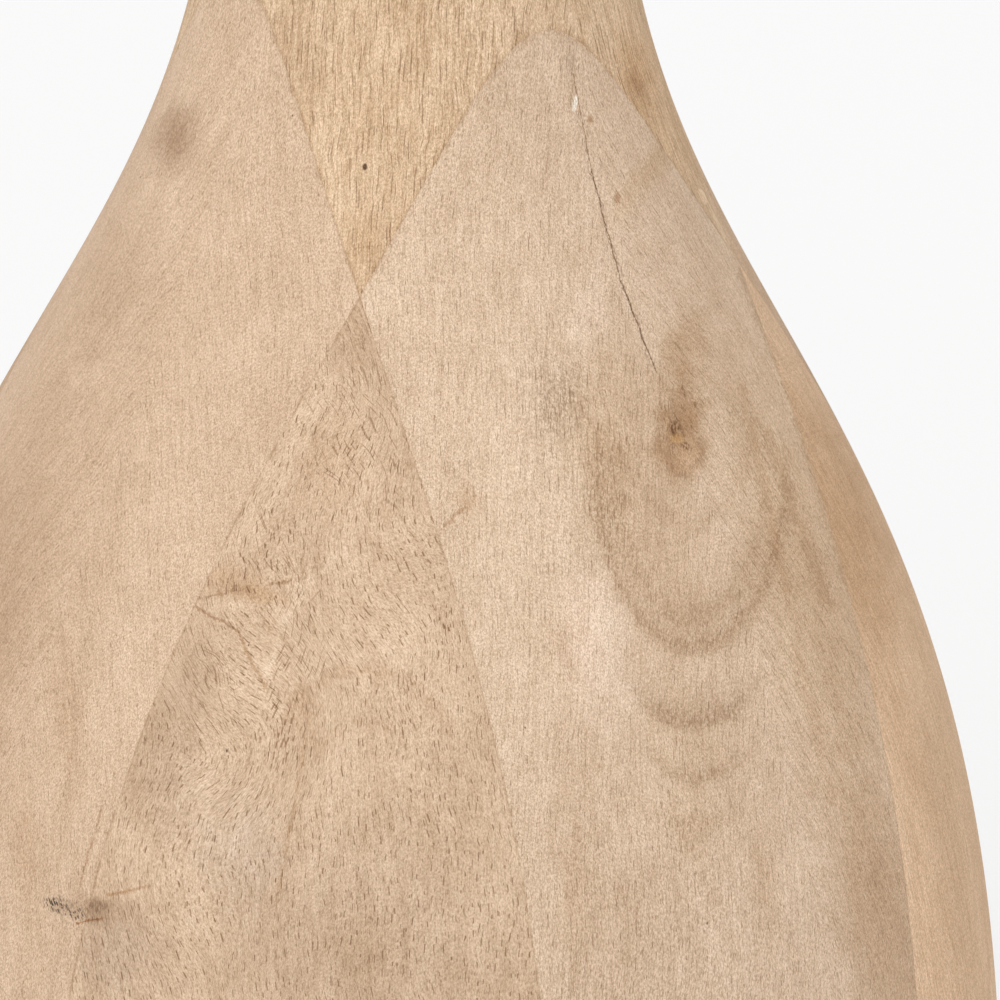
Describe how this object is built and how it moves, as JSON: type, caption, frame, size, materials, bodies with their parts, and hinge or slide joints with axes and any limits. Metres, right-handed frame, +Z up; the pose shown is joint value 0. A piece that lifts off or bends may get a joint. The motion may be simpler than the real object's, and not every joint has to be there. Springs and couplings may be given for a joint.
{
  "type": "fertility doll",
  "caption": "Standing doll turned from a blank of glued raw wood posts, with a pear-shaped body, a slim neck, a ringed collar and a disc head, on felt pads.",
  "frame": {"origin": "on the surface the doll stands on, under the turning axis", "axes": "+Z up along the turning axis, -Y towards the viewer of the face, +X to the viewer's right"},
  "size_m": [0.1736, 0.1736, 0.4598],
  "materials": {
    "wood_pale": "raw, sanded, matt",
    "wood_warm": "raw, sanded, matt",
    "wood_core": "raw, sanded, matt, coarse pores",
    "dowel_beech": "plain, dry",
    "felt": "pressed felt"
  },
  "bodies": {
    "root": {"core_post": "wood_core", "front_post": "wood_pale", "back_post": "wood_warm", "left_post": "wood_pale", "right_post": "wood_warm", "front_left_post": "wood_warm", "front_right_post": "wood_warm", "back_left_post": "wood_warm", "back_right_post": "wood_warm", "neck_collar": "wood_core", "head_dowel": "dowel_beech", "head_left_board": "wood_pale", "head_centre_board": "wood_pale", "head_right_board": "wood_pale", "brow_and_nose": "wood_core", "left_eye": "wood_core", "right_eye": "wood_core", "mouth": "wood_core", "felt_pad_1": "felt", "felt_pad_2": "felt", "felt_pad_3": "felt", "felt_pad_4": "felt"}
  },
  "joints": []
}
